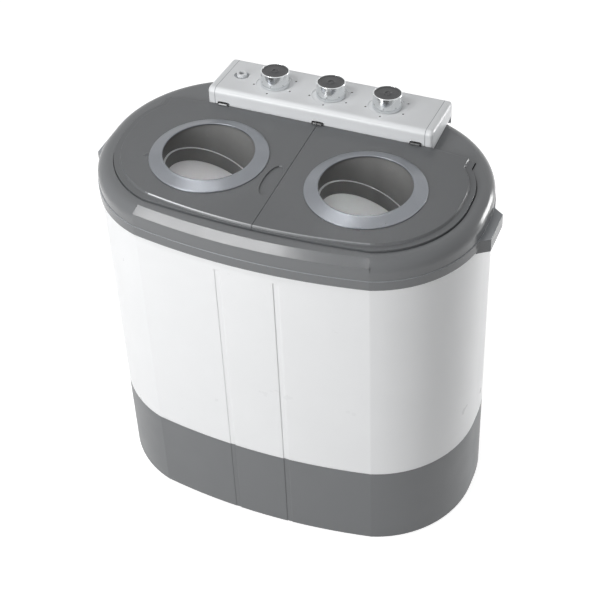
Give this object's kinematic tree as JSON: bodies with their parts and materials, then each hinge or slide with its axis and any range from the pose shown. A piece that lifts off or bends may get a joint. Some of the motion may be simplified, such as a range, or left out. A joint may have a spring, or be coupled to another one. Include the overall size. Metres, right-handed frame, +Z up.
{
  "type": "top load washing machine",
  "caption": "Compact side-by-side washing machine and spin dryer with windowed top lids, rear dial console, grey collar and skirted rounded cabinet.",
  "frame": {"origin": "middle of the base on the floor, under the centre of the overall box", "axes": "+Z up, the bowed front faces -Y, +X to the right seen from the front"},
  "size_m": [0.578, 0.3587, 0.5937],
  "materials": {
    "skirt_plastic": "smooth moulded, satin grey",
    "collar_plastic": "smooth moulded grey with a soft gloss",
    "lid_plastic": "smooth grey, semi-gloss",
    "white_plastic": "smooth white moulded",
    "console_plastic": "smooth pale grey-white moulded",
    "bright_trim": "bright silver trim",
    "smoked_plastic": "smoked translucent grey",
    "knob_cap_plastic": "dark grey gloss",
    "tub_plastic": "white food-grade moulding",
    "basket_metal": "perforated stainless",
    "shaft_steel": "ground",
    "motor_paint": "black enamel",
    "cast_alloy": "as cast",
    "black_rubber": "matte",
    "grey_hose": "matte",
    "black_plastic": "moulded",
    "zinc_steel": "zinc plated"
  },
  "bodies": {
    "cabinet": {"base_skirt": "skirt_plastic", "bearing_housing": "black_plastic", "bellows_seal": "black_rubber", "body_shell": "white_plastic", "brake_cable": "black_rubber", "capacitor": "black_plastic", "console_fascia": "console_plastic", "console_left_cap": "console_plastic", "console_right_cap": "console_plastic", "cord_gland": "black_rubber", "cover_screws": "zinc_steel", "drain_selector": "black_plastic", "drain_spigot": "tub_plastic", "drain_valve": "tub_plastic", "drive_belt": "black_rubber", "feet": "black_rubber", "inlet_hose": "grey_hose", "lid_hinge_pins": "shaft_steel", "lint_filter": "tub_plastic", "motor_bolts": "zinc_steel", "motor_plate": "zinc_steel", "mount_springs": "zinc_steel", "rear_cover": "white_plastic", "shaft_seal": "black_rubber", "spin_drain_hose": "grey_hose", "spin_motor": "motor_paint", "spin_timer": "black_plastic", "spin_tub": "tub_plastic", "top_collar": "collar_plastic", "wash_drain_hose": "grey_hose", "wash_motor": "motor_paint", "wash_timer": "black_plastic", "wash_tub": "tub_plastic", "water_inlet": "console_plastic", "wiring_harness": "black_rubber"},
    "wash_lid": {"wash_lid": "lid_plastic", "wash_window_ring": "bright_trim", "wash_window_bowl": "smoked_plastic"},
    "spin_lid": {"spin_lid": "lid_plastic", "spin_window_ring": "bright_trim", "spin_window_bowl": "smoked_plastic"},
    "wash_timer_dial": {"wash_timer_knob": "bright_trim", "wash_timer_knob_cap": "knob_cap_plastic", "wash_timer_shaft": "black_plastic"},
    "drain_selector_dial": {"drain_selector_knob": "bright_trim", "drain_selector_knob_cap": "knob_cap_plastic", "drain_selector_shaft": "black_plastic"},
    "spin_timer_dial": {"spin_timer_knob": "bright_trim", "spin_timer_knob_cap": "knob_cap_plastic", "spin_timer_shaft": "black_plastic"},
    "pulsator_drive": {"pulsator": "tub_plastic", "pulsator_shaft": "shaft_steel", "driven_pulley": "cast_alloy"},
    "wash_motor_rotor": {"motor_pulley": "cast_alloy", "wash_motor_shaft": "shaft_steel"},
    "spin_drive": {"spin_basket": "basket_metal", "spin_shaft": "shaft_steel", "brake_drum": "motor_paint"},
    "brake": {"brake_arm": "zinc_steel"},
    "drain_valve_plug": {"drain_plug": "black_rubber"}
  },
  "joints": [
    {"name": "wash_lid_hinge", "type": "hinge", "parent": "cabinet", "child": "wash_lid", "pos_m": [-0.1, 0.086, 0.5525], "axis": [-1, 0, 0], "range_deg": [0, 90]},
    {"name": "spin_lid_hinge", "type": "hinge", "parent": "cabinet", "child": "spin_lid", "pos_m": [0.1, 0.086, 0.5525], "axis": [-1, 0, 0], "range_deg": [0, 90]},
    {"name": "pulsator_spin", "type": "hinge", "parent": "cabinet", "child": "pulsator_drive", "pos_m": [-0.128, -0.038, 0.18], "axis": [0, 0, 1], "continuous": true},
    {"name": "wash_motor_spin", "type": "hinge", "parent": "cabinet", "child": "wash_motor_rotor", "pos_m": [-0.128, 0.092, 0.12], "axis": [0, 0, 1], "continuous": true},
    {"name": "basket_spin", "type": "hinge", "parent": "cabinet", "child": "spin_drive", "pos_m": [0.115, -0.038, 0.2], "axis": [0, 0, 1], "continuous": true},
    {"name": "brake_pivot", "type": "hinge", "parent": "cabinet", "child": "brake", "pos_m": [0.1517, 0.017, 0.153], "axis": [0, 0, -1], "range_deg": [0, 1.9]},
    {"name": "drain_plug_lift", "type": "slide", "parent": "cabinet", "child": "drain_valve_plug", "axis": [0, 0, 1], "range_m": [0, 0.008]},
    {"name": "wash_timer_turn", "type": "hinge", "parent": "cabinet", "child": "wash_timer_dial", "pos_m": [-0.082, 0.133, 0.57083], "axis": [0, -0.0924, -0.9957], "range_deg": [0, 330]},
    {"name": "drain_selector_turn", "type": "hinge", "parent": "cabinet", "child": "drain_selector_dial", "pos_m": [0.003, 0.133, 0.57083], "axis": [0, -0.0924, -0.9957], "range_deg": [0, 90]},
    {"name": "spin_timer_turn", "type": "hinge", "parent": "cabinet", "child": "spin_timer_dial", "pos_m": [0.087, 0.133, 0.57083], "axis": [0, -0.0924, -0.9957], "range_deg": [0, 330]}
  ],
  "couplings": [
    {"joint": "wash_motor_spin", "follows": "pulsator_spin", "ratio": 2.983},
    {"joint": "brake_pivot", "follows": "spin_lid_hinge", "ratio": 0.02},
    {"joint": "drain_plug_lift", "follows": "drain_selector_turn", "m_per_rad": 0.005}
  ]
}
